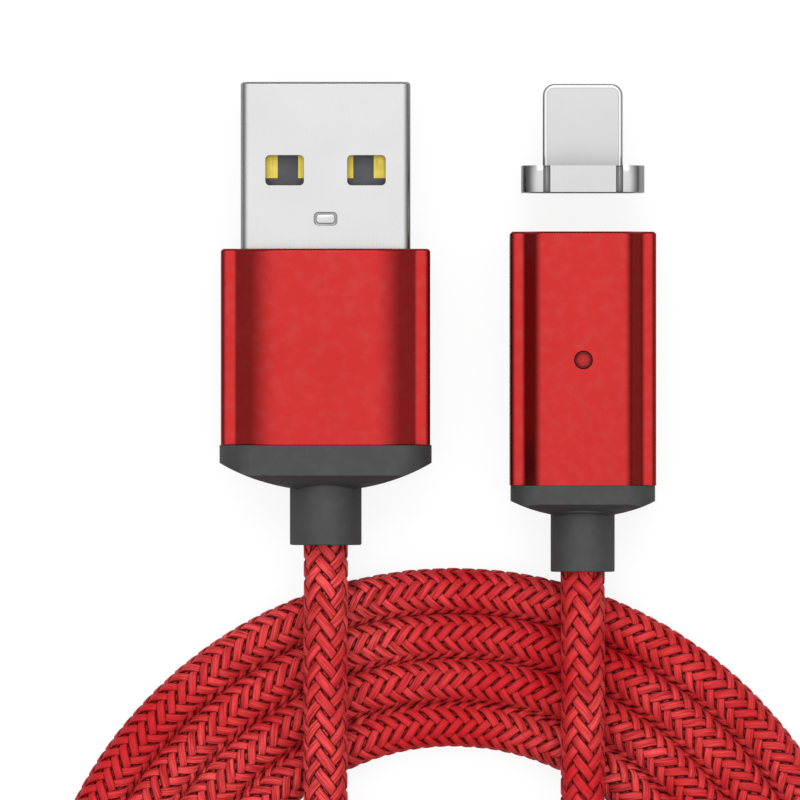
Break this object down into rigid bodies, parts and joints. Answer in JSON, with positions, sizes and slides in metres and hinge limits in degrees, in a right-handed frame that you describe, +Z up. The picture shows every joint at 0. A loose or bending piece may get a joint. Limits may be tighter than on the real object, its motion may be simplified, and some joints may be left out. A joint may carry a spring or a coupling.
{
  "type": "magnetic charging cable",
  "caption": "Coiled braided charging cable with a USB-A plug, a magnetic head with sprung contact pins and light, and a small detachable phone tip.",
  "frame": {"origin": "on the surface it lies on, under the middle of the box round the two connectors", "axes": "+Y the way the USB plug and the phone tip point, +X from the USB end to the magnetic head, +Z up"},
  "size_m": [0.0602, 0.1025, 0.0084],
  "materials": {
    "plug_steel": "nickel-plated stamped steel, satin",
    "gold": "gold-plated, bright",
    "black_plastic": "moulded, fine grain",
    "red_anodised": "red anodised, fine satin",
    "mould_white": "low-pressure moulding, dull",
    "crimp_steel": "tinned, dull",
    "inner_jacket": "soft extruded jacket",
    "wire_red": "extruded insulation",
    "wire_white": "extruded insulation",
    "wire_green": "extruded insulation",
    "wire_black": "extruded insulation",
    "cap_grey": "moulded, fine matt grain",
    "relief_grey": "moulded elastomer, satin",
    "magnet_nickel": "nickel-plated, bright",
    "spring_steel": "drawn wire",
    "board_green": "solder-masked laminate",
    "chip_black": "moulded chip bodies",
    "led_package": "white package, clear top",
    "light_lens": "red-tinted light pipe",
    "tip_steel": "polished steel",
    "tongue_steel": "polished, soft edges",
    "tongue_grey": "smooth moulded insert",
    "cord_braid": "red braided polyester yarn"
  },
  "bodies": {
    "cable": {"usb_plug_shell": "plug_steel", "usb_contact_block": "black_plastic", "usb_power_contacts": "gold", "usb_data_contacts": "gold", "usb_sleeve": "red_anodised", "usb_shell_collar": "mould_white", "usb_inner_mould": "mould_white", "usb_crimp_ring": "crimp_steel", "usb_cord_core": "inner_jacket", "usb_end_cap": "cap_grey", "usb_strain_relief": "relief_grey", "head_sleeve": "red_anodised", "contact_carrier": "black_plastic", "head_magnet_upper": "magnet_nickel", "head_magnet_lower": "magnet_nickel", "pin_barrels": "gold", "head_board": "board_green", "light_chip": "led_package", "light_lens": "light_lens", "board_components": "chip_black", "head_inner_mould": "mould_white", "head_cord_core": "inner_jacket", "head_end_cap": "cap_grey", "head_strain_relief": "relief_grey", "cord_lead_usb": "cord_braid", "cord_lead_head": "cord_braid", "cord_coil": "cord_braid", "cord_inner_loops": "cord_braid", "usb_wire_red": "wire_red", "head_wire_red": "wire_red", "usb_wire_white": "wire_white", "head_wire_white": "wire_white", "usb_wire_green": "wire_green", "head_wire_green": "wire_green", "usb_wire_black": "wire_black", "head_wire_black": "wire_black", "pin_spring_1": "spring_steel", "pin_spring_2": "spring_steel", "pin_spring_3": "spring_steel", "pin_spring_4": "spring_steel", "pin_spring_5": "spring_steel"},
    "tip": {"tip_base": "tip_steel", "tip_contact_plate": "black_plastic", "tip_pads": "gold", "tip_tongue_frame": "tongue_steel", "tip_tongue_insert": "tongue_grey", "tip_contacts": "gold", "tip_board": "board_green"},
    "pin_1": {"contact_pin_1": "gold"},
    "pin_2": {"contact_pin_2": "gold"},
    "pin_3": {"contact_pin_3": "gold"},
    "pin_4": {"contact_pin_4": "gold"},
    "pin_5": {"contact_pin_5": "gold"}
  },
  "joints": [
    {"name": "tip_slide", "type": "slide", "parent": "cable", "child": "tip", "axis": [0, 1, 0], "range_m": [-0.00474, 0.012]},
    {"name": "pin_1_press", "type": "slide", "parent": "cable", "child": "pin_1", "axis": [0, 1, 0], "range_m": [-0.0005, 0], "stiffness_N_per_m": 400, "springref_m": 0.0002, "deforming": ["pin_spring_1"]},
    {"name": "pin_2_press", "type": "slide", "parent": "cable", "child": "pin_2", "axis": [0, 1, 0], "range_m": [-0.0005, 0], "stiffness_N_per_m": 400, "springref_m": 0.0002, "deforming": ["pin_spring_2"]},
    {"name": "pin_3_press", "type": "slide", "parent": "cable", "child": "pin_3", "axis": [0, 1, 0], "range_m": [-0.0005, 0], "stiffness_N_per_m": 400, "springref_m": 0.0002, "deforming": ["pin_spring_3"]},
    {"name": "pin_4_press", "type": "slide", "parent": "cable", "child": "pin_4", "axis": [0, 1, 0], "range_m": [-0.0005, 0], "stiffness_N_per_m": 400, "springref_m": 0.0002, "deforming": ["pin_spring_4"]},
    {"name": "pin_5_press", "type": "slide", "parent": "cable", "child": "pin_5", "axis": [0, 1, 0], "range_m": [-0.0005, 0], "stiffness_N_per_m": 400, "springref_m": 0.0002, "deforming": ["pin_spring_5"]}
  ]
}
